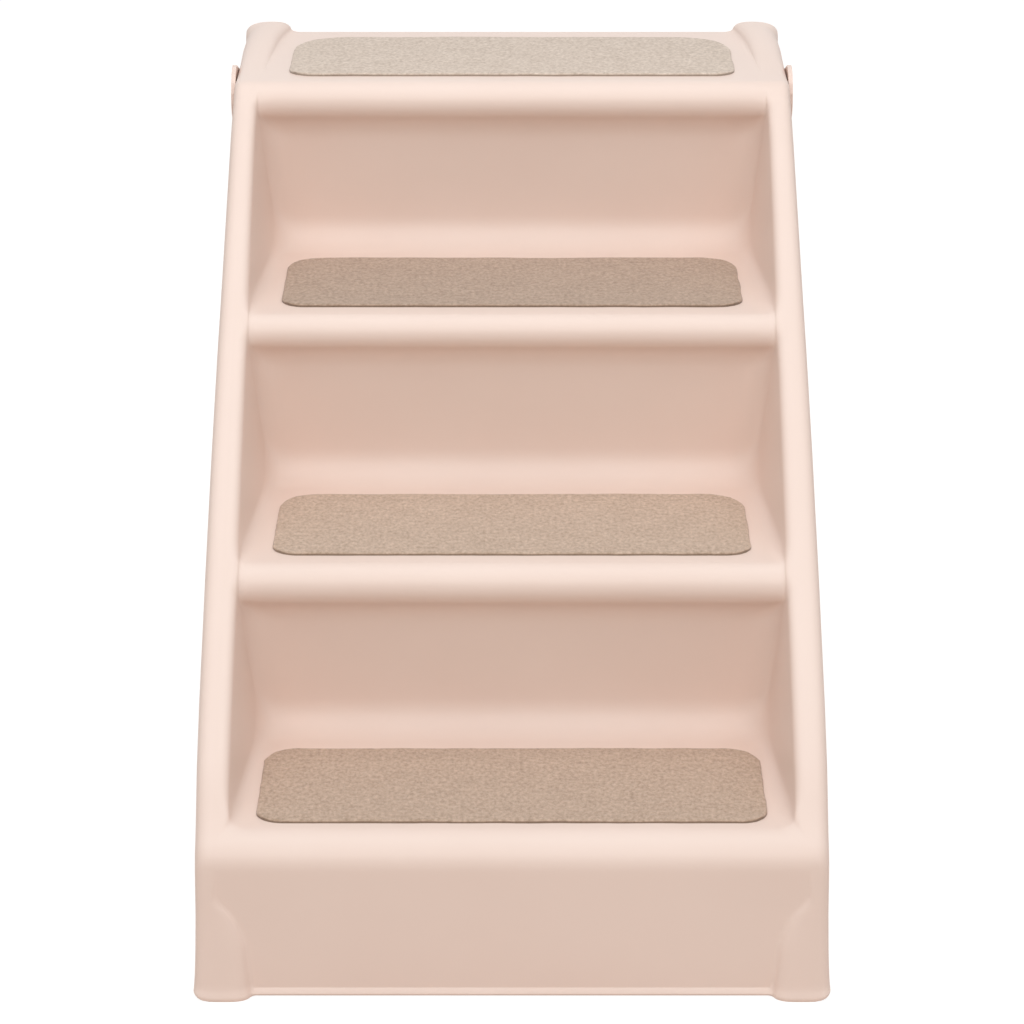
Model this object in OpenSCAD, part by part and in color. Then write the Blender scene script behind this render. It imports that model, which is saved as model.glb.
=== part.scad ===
// Four-step folding pet stairs with carpet on every tread.
// The moulded stair shell stands on its two front columns and on a rear support frame that folds up under the steps.
// Lengths are in millimetres, the origin is on the floor in the middle of the footprint, and the front faces minus Y.

/* [Steps] */
// Distance from one tread nose to the next
step_run = 148; // [146:1:150]
// Height from one tread to the next
step_rise = 125.2; // [123:0.2:127]
// Height of the first tread above the floor
first_tread_h = 110; // [108:1:112]
// Depth of the top tread
top_tread_d = 176; // [174:1:178]
// Radius of the nosing on the three upper treads
nose_r = 12.5; // [11.5:0.5:13.5]
// Radius of the nosing on the first tread
first_nose_r = 18; // [16:1:20]
// Radius where a tread turns up into the riser behind it
foot_r = 20; // [18:1:22]
// Radius tucked in under each upper nosing
tuck_r = 4; // [3:0.5:5]
// Distance of a riser's foot behind the nose above it
riser_back = 30; // [28:1:31]
// Forward lean of the risers in degrees
riser_lean = 11; // [10:0.5:12]
// Thickness of the moulded walls
wall_t = 3; // [2.6:0.1:3.4]

/* [Sides] */
// Width over the side walls at the front
shell_w = 399; // [396:1:400]
// Narrowing of each side from the front to the top tread
side_taper = 7; // [6:0.5:8]
// Width of each rail at the front
rail_w = 21.5; // [20:0.5:23]
// Inward lean of each side wall down to the risers' feet
wall_lean_w = 12.5; // [11.5:0.5:13.5]
// Height of the rails above the line of the nosings
rail_rise = 3; // [2.5:0.5:4]
// Radius of the rails' outer edge
rail_outer_r = 8; // [7:0.5:9]
// Radius of the rails' inner edge
rail_inner_r = 6; // [5:0.5:7]
// Depth of the side walls below the line of the nosings
side_d = 115; // [114.5:0.5:116]
// Radius of the front corners seen from above
front_corner_r = 8; // [7:0.5:9]
// Radius of the rear corners seen from above
rear_corner_r = 14; // [12:1:16]
// Radius of the side edges of the top tread
top_edge_r = 8; // [7:0.5:9]
// Radius of the rear edge of the top tread
rear_edge_r = 6; // [5:0.5:7]
// Height of the raised rear corners above the top tread
horn_h = 9.8; // [9:0.2:10.6]
// Width of the raised corners at the rear edge
horn_w = 38; // [35:1:40]
// Length of the raised corners along the sides
horn_len = 125; // [120:1:130]

/* [Front] */
// Lean of the front panel back from its nosing in degrees
panel_lean = 5.5; // [5:0.5:6.5]
// Gap between the front panel and the floor
panel_gap = 2; // [1.5:0.5:3]
// Width of each front column at the floor
column_w = 35; // [32:1:38]
// Depth of each front column at the floor
column_d = 40; // [38:1:42]
// Height of the recess between the columns
recess_h = 74; // [70:1:78]

/* [Carpets] */
// Width of the first carpet
first_carpet_w = 322; // [318:1:324]
// Width of the other carpets
carpet_w = 313; // [308:1:316]
// Depth of each carpet, front to back
carpet_d = 122; // [119:1:124]
// Distance of a carpet's front edge behind the nose
carpet_back = 24; // [22:1:26]
// Thickness of each carpet
carpet_t = 3; // [2.6:0.2:3.4]
// Depth of the shallow seat that each carpet lies in
carpet_seat = 1; // [0.8:0.1:1.2]
// Radius of a carpet's front corners
carpet_front_r = 16; // [14:1:18]
// Radius of a carpet's rear corners
carpet_rear_r = 20; // [18:1:22]

/* [Rear frame] */
// Distance of the fold pivot ahead of the rear edge
pivot_ahead = 125; // [123:1:127]
// Depth of the fold pivot below the top tread
pivot_below = 17.6; // [17:0.2:18.4]
// Radius of the rounded ear around the pivot
ear_r = 20; // [19:0.5:20.5]
// Thickness of the frame's walls
frame_t = 3; // [2.8:0.1:3.2]
// Distance of the frame's rear wall behind the pivot
frame_back = 112; // [111:0.5:113]
// Depth of the frame's side walls at the floor
leg_d = 36; // [34:1:38]
// Drop from the pivot to where the side walls are narrow
leg_drop = 125; // [122:1:128]
// Depth of the stiffening ribs across the rear wall
rib_d = 9; // [8:0.5:10]
// Radius of the frame's rear corners seen from above
frame_corner_r = 8; // [7:0.5:9]
// Width of the hand slot in the rear wall
grip_w = 110; // [105:1:115]
// Height of the hand slot in the rear wall
grip_h = 30; // [28:1:32]

/* [Hardware] */
// Radius of the pivot bolts' shank
bolt_r = 4; // [3.8:0.1:4.2]
// Radius of the pivot bolts' countersunk head
bolt_head_r = 6.5; // [6.3:0.1:6.7]
// Depth of the countersunk head
bolt_head_d = 2.5; // [2.4:0.1:2.6]
// Radius of the bosses that carry the pivot bolts
boss_r = 11; // [10:0.5:11.5]
// Length of the bosses inside the side walls
boss_len = 9; // [8:0.5:10]
// Radius of the spacer rings at the pivots
spacer_r = 9; // [8.5:0.5:9.5]
// Thickness of the spacer rings
spacer_t = 1; // [0.9:0.1:1.1]
// Thickness of the washers under the nuts
washer_t = 1.6; // [1.4:0.1:1.8]
// Radius of the washers under the nuts
washer_r = 8; // [7.5:0.5:8.5]
// Thickness of the nuts
nut_t = 6.5; // [6:0.5:7]
// Width of the nuts across their flats
nut_w = 13; // [12.6:0.1:13.2]
// Length of each lock slide
lock_len = 70; // [68:1:72]
// Height of each lock slide
lock_h = 10; // [9.5:0.5:10]
// Thickness of each lock slide
lock_t = 5; // [4.8:0.1:5.2]
// Travel of each lock slide
lock_travel = 8; // [7:0.5:8]
// Length of the finger tab on each lock slide
tab_len = 14; // [13:0.5:15]
// Thickness of the lock covers
cover_t = 2.4; // [2.2:0.1:2.6]
// Radius of the cover screws' shank
screw_r = 1.5; // [1.4:0.1:1.6]
// Radius of the cover screws' head
screw_head_r = 3; // [2.8:0.1:3.2]
// Thickness of the rubber foot pads
pad_t = 2.5; // [2.4:0.1:2.6]
// Width of each rubber foot pad
pad_w = 22; // [20:1:23]
// Depth of each rubber foot pad, front to back
pad_d = 24; // [22:1:25]
// Height of the frames' edges above the floor, where the pads stand out
pad_proud = 0.8; // [0.7:0.1:1]

/* [Hidden] */
$fn = 48;

step_count = 4;
last = step_count - 1;
arc_steps = 7;
overall_l = last * step_run + top_tread_d;
front_y = -overall_l / 2;
rear_y = overall_l / 2;
nose_y = [for (i = [0:last]) front_y + i * step_run];
tread_z = [for (i = [0:last]) first_tread_h + i * step_rise];
top_z = tread_z[last];
far = 2 * overall_l;

// Clearances between pieces
seat_gap = wall_t / 10;
running_gap = bolt_r / 80;
screw_gap = screw_r / 15;

// Direction of the flight and the point where its line of nosings touches the first upper nosing
slope = atan2(step_rise, step_run);
slope_dir = [cos(slope), sin(slope)];
slope_up = [-sin(slope), cos(slope)];
line_point = [nose_y[1] + nose_r, tread_z[1] - nose_r] + nose_r * slope_up;

function spot(centre, radius, angle) = centre + radius * [cos(angle), sin(angle)];
function arc(centre, radius, from, to) =
    [for (k = [0:arc_steps]) spot(centre, radius, from + (to - from) * k / arc_steps)];
function line_z(y, up) = line_point[1] + (y - line_point[0]) * tan(slope) + up / cos(slope);
function line_y(z, up) = line_point[0] + (z - line_point[1] - up / cos(slope)) / tan(slope);

// Skin points from one tread's rear, up the riser and round the nosing above, set inwards by a depth
function riser_points(i, inset) =
    let (
        nose_c = [nose_y[i] + nose_r, tread_z[i] - nose_r],
        foot_c = [nose_y[i] + riser_back - foot_r * cos(riser_lean), tread_z[i - 1] + foot_r],
        rise_dir = [-sin(riser_lean), cos(riser_lean)],
        start = spot(foot_c, foot_r - tuck_r, riser_lean),
        away = start - nose_c,
        along = away * rise_dir,
        reach = nose_r + tuck_r,
        tuck_c = start + (-along - sqrt(along * along - away * away + reach * reach)) * rise_dir,
        turn = atan2(nose_c[1] - tuck_c[1], nose_c[0] - tuck_c[0])
    )
    concat(
        arc(foot_c, foot_r + inset, -90, riser_lean),
        arc(tuck_c, tuck_r + inset, riser_lean, turn),
        arc(nose_c, nose_r - inset, turn + 180, 90));

function panel_y(z, inset) =
    front_y + first_nose_r - (first_nose_r - inset) * cos(panel_lean)
    + (first_tread_h - first_nose_r - (first_nose_r - inset) * sin(panel_lean) - z) * tan(panel_lean);

// Skin of the whole flight between the rails, set inwards by a depth
function flight_points(inset) = concat(
    [[panel_y(-far, inset), -far]],
    arc([nose_y[0] + first_nose_r, tread_z[0] - first_nose_r], first_nose_r - inset, 180 + panel_lean, 90),
    [for (i = [1:last]) each riser_points(i, inset)]);

// Side view of the shell, with its front corner rounded to meet the rail
corner_r = first_nose_r * 11 / 9;
function side_points(inset) =
    let (
        rail_up = rail_rise - inset,
        centre_y = front_y + corner_r,
        centre_z = line_z(centre_y, rail_rise - corner_r),
        low = inset > 0 ? -far : pad_proud,
        base_up = inset > 0 ? -far : -side_d,
        low_y = inset > 0 ? rear_y - inset : line_y(pad_proud, -side_d)
    )
    concat(
        [[front_y + inset, low]],
        arc([centre_y, centre_z], corner_r - inset, 180, 90 + slope),
        [[line_y(top_z - inset, rail_up), top_z - inset]],
        arc([rear_y - rear_edge_r, top_z - rear_edge_r], rear_edge_r - inset, 90, 0),
        inset > 0 ? [[low_y, low]] : [[rear_y, line_z(rear_y, base_up)], [low_y, low]]);

// Plan view of the shell, narrower beside the top tread
taper_y = [front_y + 1.5 * step_run, nose_y[last] + nose_r];
wall_outer = shell_w / 2 - side_taper;
wall_inner = wall_outer - wall_t;
function plan_points(inset) =
    let (
        half = shell_w / 2 - inset,
        top_half = wall_outer - inset,
        fr = front_corner_r - inset,
        rr = rear_corner_r - inset,
        right = concat(
            arc([half - fr, front_y + inset + fr], fr, -90, 0),
            [[half, taper_y[0]], [top_half, taper_y[1]]],
            arc([top_half - rr, rear_y - inset - rr], rr, 0, 90))
    )
    both_sides(right);

function both_sides(right) = concat(right, [for (k = [len(right) - 1:-1:0]) [-right[k][0], right[k][1]]]);

// Pivot of the rear frame in the side view
pivot = [rear_y - pivot_ahead, top_z - pivot_below];
ear_turn = 210;
spacer_play = spacer_t * 0.4;
frame_inner = wall_outer + spacer_t + spacer_play * 2;
frame_outer = frame_inner + frame_t;
back_y = pivot[0] + frame_back;
frame_bottom = pad_proud;
frame_half = wall_outer - top_edge_r - seat_gap;
rear_block_x = frame_inner - column_w;
grip_drop = pivot_ahead * 0.44;
shoulder_z = line_z(back_y, -side_d) - frame_t * 3;
frame_top = top_z - wall_t - seat_gap;

// Lock slides on the front of the frame's rear wall
lock_top = top_z - wall_t * 2 - seat_gap * 4;
lock_z = lock_top - lock_h;
lock_end = wall_inner - seat_gap * 4;
lock_start = lock_end - lock_len;
guide_t = wall_t;
guide_h = 3 * guide_t;
guide_start = lock_start - lock_travel;
guide_lip = guide_t * 0.8;
guide_end = frame_half;
lock_face = back_y - seat_gap;
cover_y = lock_face - lock_t - seat_gap - cover_t;
tab_start = lock_start + lock_travel * 2;
tab_d = pivot_ahead - frame_back - frame_t * 2;
screw_x = [guide_start + screw_head_r * 2, guide_end - screw_head_r * 2];
screw_z = lock_z - seat_gap - guide_h / 2;
screw_len = guide_h;

// Pivot bolts
bolt_tail = wall_inner - boss_len - washer_t - nut_t - seat_gap * 2 - wall_t;
socket_r = bolt_r * 0.55;
socket_d = bolt_head_d * 0.6;

// Foot pads under the columns and the frame
front_pad_x = shell_w / 2 - wall_t - pad_w / 2 - seat_gap * 4;
rear_pad_x = frame_inner - pad_w / 2 - seat_gap * 4;
front_pad_y = front_y + wall_t + pad_d / 2 + seat_gap * 4;
rear_pad_y = back_y - pad_d / 2 - seat_gap * 4;
plate_t = pad_t + wall_t - pad_proud;
pad_corner_r = pad_w / 6;

module across(width) {
    rotate([90, 0, 90])
        linear_extrude(width, center = true)
            children();
}

module along_slope() {
    translate([0, line_point[0], line_point[1]])
        rotate([90 + slope, 0, 0])
            linear_extrude(far * 2, center = true)
                children();
}

module on_x(x, radius, length) {
    translate([x, pivot[0], pivot[1]])
        rotate([0, 90, 0])
            cylinder(r = radius, h = length);
}

module both() {
    children();
    mirror([1, 0, 0])
        children();
}

module slab(size_x, size_y, size_z, radius) {
    linear_extrude(size_z)
        polygon(both_sides(concat(
            arc([size_x / 2 - radius, -size_y / 2 + radius], radius, -90, 0),
            arc([size_x / 2 - radius, size_y / 2 - radius], radius, 0, 90))));
}

// Outer form of the shell, set inwards by a depth
module form(inset) {
    half = shell_w / 2 - inset;
    outer_r = rail_outer_r - inset;
    edge_half = wall_outer - inset;
    edge_r = top_edge_r - inset;
    intersection() {
        across(far)
            polygon(side_points(inset));
        translate([0, 0, -far])
            linear_extrude(far * 2)
                polygon(plan_points(inset));
        along_slope()
            polygon(both_sides(concat(
                [[half, -far]],
                arc([half - outer_r, rail_rise - inset - outer_r], outer_r, 0, 90))));
        union() {
            rotate([90, 0, 0])
                linear_extrude(far, center = true)
                    polygon(both_sides(concat(
                        [[edge_half, -far]],
                        arc([edge_half - edge_r, top_z - inset - edge_r], edge_r, 0, 90))));
            translate([0, nose_y[last] - far, 0])
                cube([far, far * 2, far * 2], center = true);
        }
    }
}

// Open space above the treads, between the rails
module step_space(inset) {
    lean = wall_lean_w / side_d;
    top_half = shell_w / 2 - rail_w + inset;
    edge_r = rail_inner_r - inset;
    intersection() {
        across(far)
            polygon(concat(
                flight_points(inset),
                [[nose_y[last] + nose_r, far], [-far, far], [-far, -far]]));
        along_slope()
            polygon(both_sides(concat(
                [[top_half - lean * far / 2, -far / 2]],
                arc([top_half + edge_r, rail_rise - inset - edge_r], edge_r, 180, 90),
                [[top_half + edge_r, far]])));
    }
}

// Recess in front of the panel, between the columns, that widens with the height
flare_shares = [[0, 0], [0.3, 0.5], [0.5, 0.8], [1, 1]];
module panel_recess(inset) {
    half = shell_w / 2 - column_w + inset;
    flare = column_w - wall_t * 4;
    intersection() {
        across(far)
            polygon([
                [panel_y(-far, inset), -far],
                [panel_y(recess_h, inset), recess_h],
                [-far, recess_h],
                [-far, -far]]);
        rotate([90, 0, 0])
            linear_extrude(far * 2, center = true)
                polygon(both_sides(concat(
                    [[half, -far]],
                    [for (share = flare_shares) [half + flare * share[0], recess_h * share[1]]])));
    }
}

module carpet_block(i, grow, height) {
    width = (i == 0 ? first_carpet_w : carpet_w) + grow * 2;
    depth = carpet_d + grow * 2;
    front = nose_y[i] + carpet_back - grow;
    translate([0, front, tread_z[i] - carpet_seat])
        linear_extrude(height)
            polygon(both_sides(concat(
                arc([width / 2 - carpet_front_r, carpet_front_r], carpet_front_r, -90, 0),
                arc([width / 2 - carpet_rear_r, depth - carpet_rear_r], carpet_rear_r, 0, 90))));
}

// Raised rear corner on one side
module horn() {
    crest = top_z + horn_h;
    outer = wall_outer;
    dome_r = horn_w / 2;
    intersection() {
        across(far)
            polygon([
                [rear_y - horn_len, top_z],
                [rear_y - horn_len, top_z - wall_t],
                [rear_y, top_z - wall_t],
                [rear_y, crest - nose_r / 2],
                [rear_y - nose_r / 2, crest],
                [rear_y - horn_len / 3, crest - horn_h / 4]]);
        translate([0, 0, top_z - wall_t * 2])
            linear_extrude(far)
                intersection() {
                    polygon(plan_points(0));
                    polygon([
                        [outer - horn_w / 2, rear_y - horn_len],
                        [outer, rear_y - horn_len],
                        [outer, rear_y],
                        [outer - horn_w, rear_y]]);
                }
        rotate([90, 0, 0])
            linear_extrude(far, center = true)
                polygon(concat(
                    [[outer - horn_w, top_z - wall_t * 2], [outer, top_z - wall_t * 2]],
                    arc([outer - dome_r, crest - dome_r], dome_r, 0, 180)));
    }
}

module stair_shell() {
    color([0.87, 0.78, 0.72])
    difference() {
        union() {
            difference() {
                form(0);
                step_space(0);
                panel_recess(0);
                difference() {
                    form(wall_t);
                    step_space(wall_t);
                    panel_recess(wall_t);
                }
            }
            both() {
                horn();
                on_x(wall_inner - boss_len, boss_r, boss_len + wall_t / 2);
            }
            intersection() {
                form(0);
                both()
                    translate([shell_w / 2 - column_w, front_y, 0])
                        cube([column_w, column_d, plate_t]);
            }
        }
        for (i = [0:last])
            carpet_block(i, seat_gap, carpet_t + wall_t);
        translate([0, 0, -panel_gap - far])
            across(shell_w - column_w * 2)
                translate([-far / 2, 0])
                    square([far, far + panel_gap * 2]);
        both() {
            on_x(wall_inner - boss_len * 2, bolt_r + running_gap, boss_len * 3);
            translate([front_pad_x, front_pad_y, -wall_t])
                slab(pad_w + seat_gap * 2, pad_d + seat_gap * 2, pad_t + seat_gap + wall_t, pad_corner_r);
            translate([wall_inner - wall_t, cover_y + cover_t, lock_z - seat_gap])
                cube([wall_t * 4, lock_t + seat_gap * 3, lock_h + seat_gap * 2]);
        }
    }
}

module carpet(i) {
    color([0.72, 0.62, 0.55])
    translate([0, 0, seat_gap])
        carpet_block(i, 0, carpet_t);
}

// Plan view of the frame's walls, set inwards by a depth
function wall_points(inset) =
    let (
        half = frame_outer - inset,
        radius = frame_corner_r - inset,
        rear = back_y + frame_t - inset,
        front = inset > 0 ? -far * 2 : -far
    )
    both_sides(concat([[half, front]], arc([half - radius, rear - radius], radius, 0, 90)));

// Side view of the frame's side walls
module frame_side() {
    knee = [back_y - leg_d, pivot[1] - leg_drop];
    difference() {
        polygon(concat(
            arc(pivot, ear_r, 60, ear_turn),
            [
                knee,
                [back_y - leg_d, frame_bottom],
                [back_y + frame_t * 2, frame_bottom],
                [back_y + frame_t * 2, shoulder_z - frame_t * 2]]));
        translate(pivot)
            circle(r = bolt_r + running_gap);
    }
}

module rear_frame() {
    color([0.82, 0.73, 0.67])
    difference() {
        union() {
            intersection() {
                linear_extrude(far)
                    difference() {
                        polygon(wall_points(0));
                        polygon(wall_points(frame_t));
                    }
                across(far)
                    frame_side();
            }
            translate([-frame_half, back_y, shoulder_z - frame_t * 3])
                cube([frame_half * 2, frame_t, frame_top - shoulder_z + frame_t * 3]);
            intersection() {
                linear_extrude(far)
                    polygon(wall_points(frame_t / 2));
                union() {
                    for (k = [1:last])
                        translate([-far, back_y - rib_d, step_rise * k - frame_t / 2])
                            cube([far * 2, rib_d * 2, frame_t]);
                    both()
                        translate([rear_block_x, back_y - leg_d, frame_bottom])
                            cube([far, leg_d * 2, plate_t - frame_bottom]);
                }
            }
            both() {
                translate([guide_start, lock_face - lock_t - seat_gap, lock_top + seat_gap])
                    cube([guide_end - guide_start, lock_t + frame_t, guide_lip]);
                translate([guide_start, lock_face - lock_t - seat_gap, lock_z - seat_gap - guide_h])
                    cube([guide_end - guide_start, lock_t + frame_t, guide_h]);
            }
        }
        translate([0, back_y + frame_t / 2, pivot[1] - grip_drop])
            rotate([90, 0, 0])
                translate([0, 0, -frame_t])
                    slab(grip_w, grip_h, frame_t * 2, grip_h / 3);
        both() {
            translate([frame_outer, pivot[0], pivot[1]])
                rotate([0, -90, 0])
                    cylinder(r1 = bolt_head_r + seat_gap, r2 = bolt_r + running_gap, h = bolt_head_d + seat_gap);
            translate([rear_pad_x, rear_pad_y, -wall_t])
                slab(pad_w + seat_gap * 2, pad_d + seat_gap * 2, pad_t + seat_gap + wall_t, pad_corner_r);
            translate([tab_start - seat_gap, back_y - frame_t / 2, lock_z + seat_gap])
                cube([tab_len + lock_travel + seat_gap * 2, frame_t * 2, lock_h - seat_gap * 2]);
            for (x = screw_x)
                translate([x, cover_y, screw_z])
                    rotate([-90, 0, 0])
                        cylinder(r = screw_r + screw_gap, h = screw_len + cover_t, $fn = 24);
        }
    }
}

module pivot_bolt() {
    difference() {
        union() {
            translate([frame_outer, pivot[0], pivot[1]])
                rotate([0, -90, 0])
                    cylinder(r1 = bolt_head_r, r2 = bolt_r, h = bolt_head_d);
            on_x(bolt_tail, bolt_r, frame_outer - bolt_head_d - bolt_tail + wall_t / 3);
        }
        translate([frame_outer - socket_d, pivot[0], pivot[1]])
            rotate([0, 90, 0])
                cylinder(r = socket_r, h = bolt_head_d, $fn = 6);
    }
}

module pivot_bolts() {
    color([0.62, 0.63, 0.65])
    both()
        pivot_bolt();
}

module ring(x, outer, inner, thick) {
    difference() {
        on_x(x, outer, thick);
        on_x(x - thick, inner, thick * 3);
    }
}

module pivot_spacers() {
    color([0.9, 0.9, 0.88])
    both()
        ring(wall_outer + spacer_play, spacer_r, bolt_r + seat_gap, spacer_t);
}

module pivot_washers() {
    color([0.66, 0.67, 0.69])
    both()
        ring(wall_inner - boss_len - washer_t, washer_r, bolt_r + seat_gap, washer_t);
}

module pivot_nuts() {
    color([0.6, 0.61, 0.63])
    both()
        difference() {
            translate([wall_inner - boss_len - washer_t - nut_t, pivot[0], pivot[1]])
                rotate([0, 90, 0])
                    cylinder(r = nut_w / 2 / cos(30), h = nut_t, $fn = 6);
            on_x(bolt_tail, bolt_r + running_gap, nut_t * 3);
        }
}

module lock_slide() {
    translate([lock_start, lock_face - lock_t, lock_z])
        cube([lock_len, lock_t, lock_h]);
    translate([tab_start, lock_face - lock_t / 2, lock_z + seat_gap * 2])
        cube([tab_len, lock_t / 2 + seat_gap + frame_t + tab_d, lock_h - seat_gap * 4]);
}

module left_lock() {
    color([0.35, 0.35, 0.37])
    mirror([1, 0, 0])
        lock_slide();
}

module right_lock() {
    color([0.35, 0.35, 0.37])
    lock_slide();
}

module lock_cover() {
    difference() {
        translate([guide_start, cover_y, lock_z - seat_gap - guide_h])
            cube([guide_end - guide_start, cover_t, lock_h + seat_gap * 2 + guide_h + guide_lip]);
        for (x = screw_x)
            translate([x, cover_y - cover_t, screw_z])
                rotate([-90, 0, 0])
                    cylinder(r = screw_r + screw_gap, h = cover_t * 3, $fn = 24);
    }
}

module left_lock_cover() {
    color([0.8, 0.71, 0.65])
    mirror([1, 0, 0])
        lock_cover();
}

module right_lock_cover() {
    color([0.8, 0.71, 0.65])
    lock_cover();
}

module lock_cover_screws() {
    color([0.68, 0.69, 0.7])
    both()
        for (x = screw_x)
            translate([x, cover_y, screw_z])
                rotate([-90, 0, 0]) {
                    cylinder(r = screw_r, h = screw_len + cover_t - screw_r, $fn = 24);
                    translate([0, 0, -screw_r])
                        cylinder(r = screw_head_r, h = screw_r, $fn = 24);
                }
}

module foot_pad(x, y) {
    translate([x, y, 0])
        slab(pad_w, pad_d, pad_t, pad_corner_r);
}

module left_front_foot_pad() {
    color([0.2, 0.2, 0.2])
    foot_pad(-front_pad_x, front_pad_y);
}

module right_front_foot_pad() {
    color([0.2, 0.2, 0.2])
    foot_pad(front_pad_x, front_pad_y);
}

module left_rear_foot_pad() {
    color([0.2, 0.2, 0.2])
    foot_pad(-rear_pad_x, rear_pad_y);
}

module right_rear_foot_pad() {
    color([0.2, 0.2, 0.2])
    foot_pad(rear_pad_x, rear_pad_y);
}

stair_shell();
carpet(0);  // tread_carpet_1
carpet(1);  // tread_carpet_2
carpet(2);  // tread_carpet_3
carpet(3);  // tread_carpet_4
rear_frame();
pivot_bolts();
pivot_spacers();
pivot_washers();
pivot_nuts();
left_lock();
right_lock();
left_lock_cover();
right_lock_cover();
lock_cover_screws();
left_front_foot_pad();
right_front_foot_pad();
left_rear_foot_pad();
right_rear_foot_pad();
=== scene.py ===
"""Dresses the four-step folding pet stairs.

The moulded shell becomes one smooth skin and its treads get their felt. The folding frame, its locks, bolts and
pads keep the shape that they were built with, and get rounded edges and finishes.
"""
import math

import bpy
import numpy as np
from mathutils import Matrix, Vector, noise


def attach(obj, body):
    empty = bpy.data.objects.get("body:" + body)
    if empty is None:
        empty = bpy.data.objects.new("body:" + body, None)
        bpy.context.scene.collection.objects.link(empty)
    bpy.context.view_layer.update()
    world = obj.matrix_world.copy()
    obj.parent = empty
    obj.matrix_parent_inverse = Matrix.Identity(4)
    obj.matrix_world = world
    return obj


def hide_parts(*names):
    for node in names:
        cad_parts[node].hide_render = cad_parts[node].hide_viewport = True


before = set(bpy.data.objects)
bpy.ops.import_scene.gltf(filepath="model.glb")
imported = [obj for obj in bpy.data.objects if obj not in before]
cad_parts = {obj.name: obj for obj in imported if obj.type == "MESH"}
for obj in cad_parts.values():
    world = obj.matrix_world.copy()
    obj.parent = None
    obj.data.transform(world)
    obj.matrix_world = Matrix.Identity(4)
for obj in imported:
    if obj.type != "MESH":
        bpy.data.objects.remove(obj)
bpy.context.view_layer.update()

MM = 0.001
WHITE = (1, 1, 1, 1)
SHARP = math.radians(40)

# The flight, in millimetres. X runs to the right, Y to the rear and Z up
RUN, RISE, FIRST_TREAD = 148.0, 125.2, 110.4
FRONT, REAR = -310.0, 310.0
TREADS = [FIRST_TREAD + i * RISE for i in range(4)]
NOSES = [FRONT + i * RUN for i in range(4)]
TOP = TREADS[3]
WALL = 3.0

# Roundings: the four noses from the lowest up, a riser's foot, the tuck under a nose and the rear edge
NOSE_RS, FOOT_R, TUCK_R, REAR_R = [20.0, 14.0, 12.0, 13.4], 20.0, 26.0, 6.0

# How far a riser's foot lies behind the nose below it, the leans, and where the front panel and the rear rim end
RISER_BACK, RISER_LEAN, PANEL_LEAN = 30.0, math.radians(11), math.radians(5.5)
PANEL_FOOT, RIM_FOOT = 1.2, 476.5

# The slope that the rails follow: its directions along and square to it, and a point where it touches a nose
SLOPE = math.atan2(RISE, RUN)
ALONG = np.array([math.cos(SLOPE), math.sin(SLOPE)])
UPWARD = np.array([-math.sin(SLOPE), math.cos(SLOPE)])
LINE_R = 13.0
LINE_POINT = np.array([NOSES[1] + LINE_R, TREADS[1] - LINE_R]) + LINE_R * UPWARD

# How far the rail stands over that slope, how deep the side wall hangs under it, and half the width between the rails
RAIL_RISE, SIDE_DEPTH, INNER_HALF = 3.0, 115.0, 178.0

# The raised rear corners of the top tread: their height, and the round end that they roll over
HORN_RISE, DOME_R = 8.7, 11.0
DOME = (REAR - 11.0, TOP - 2.3)

# The frame's pivot as (y, z), and the middle and size of the slot that takes a lock slide
PIVOT, BORE_R = (185.0, 468.0), 4.1
SLOT_Y, SLOT_LONG, SLOT_Z, SLOT_HIGH = 294.35, 5.9, 473.4, 10.6

# The felt: its size on each tread, its rear corners, and how far it lies back from the nose and in its seat
FELT_WIDTHS, FELT_DEPTH, FELT_THICK = [322.0, 313.0, 313.0, 313.0], 119.3, 2.9
FELT_FRONT_R, FELT_REAR_RS, FELT_CUT = 16.0, [20.0, 27.0, 26.0, 40.0], [0.35, 0.05, 0.05, 0.05]
FELT_BACK, FELT_SINK = 26.7, 0.9
# The felt's dark and light browns on each tread from the lowest up. The tone differs a little from tread to tread,
# and the top tread's much paler felt is partly painted sheen
FELT_BROWNS = [((0.32, 0.216, 0.146), (0.64, 0.475, 0.365)), ((0.34, 0.235, 0.160), (0.68, 0.515, 0.400)),
               ((0.275, 0.183, 0.123), (0.55, 0.402, 0.305)), ((0.45, 0.345, 0.265), (0.80, 0.665, 0.560))]


def add_camera():
    """The photograph's camera: far back, slightly above the stairs and square to their front."""
    data = bpy.data.cameras.new("view")
    data.sensor_width = 36.0
    data.lens = 4048.0 / 1024 * 36
    data.clip_end = 50
    camera = bpy.data.objects.new("view", data)
    camera.location = (0, -2.6172, 1.12565)
    camera.rotation_euler = (math.radians(90 - 19.112), 0, 0)
    bpy.context.scene.collection.objects.link(camera)
    bpy.context.scene.camera = camera


def add_lamp(name, place, size, power, colour):
    """A softbox that faces the middle of the stairs."""
    data = bpy.data.lights.new(name, "AREA")
    data.shape = "RECTANGLE"
    data.size, data.size_y = size
    data.energy = power
    data.color = colour
    lamp = bpy.data.objects.new(name, data)
    lamp.location = place
    lamp.rotation_euler = (Vector((0, 0, 0.3)) - Vector(place)).to_track_quat("-Z", "Y").to_euler()
    bpy.context.scene.collection.objects.link(lamp)


class Wire:
    """One output of a node. Sums, differences and products of wires add the nodes that work them out."""

    def __init__(self, finish, socket):
        self.finish = finish
        self.socket = socket

    def _math(self, operation, first, second):
        return self.finish.add("ShaderNodeMath", {"operation": operation}, {0: first, 1: second})

    def __add__(self, other):
        return self._math("ADD", self, other)

    def __radd__(self, other):
        return self._math("ADD", other, self)

    def __sub__(self, other):
        return self._math("SUBTRACT", self, other)

    def __rsub__(self, other):
        return self._math("SUBTRACT", other, self)

    def __mul__(self, other):
        return self._math("MULTIPLY", self, other)

    def __rmul__(self, other):
        return self._math("MULTIPLY", other, self)


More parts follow.
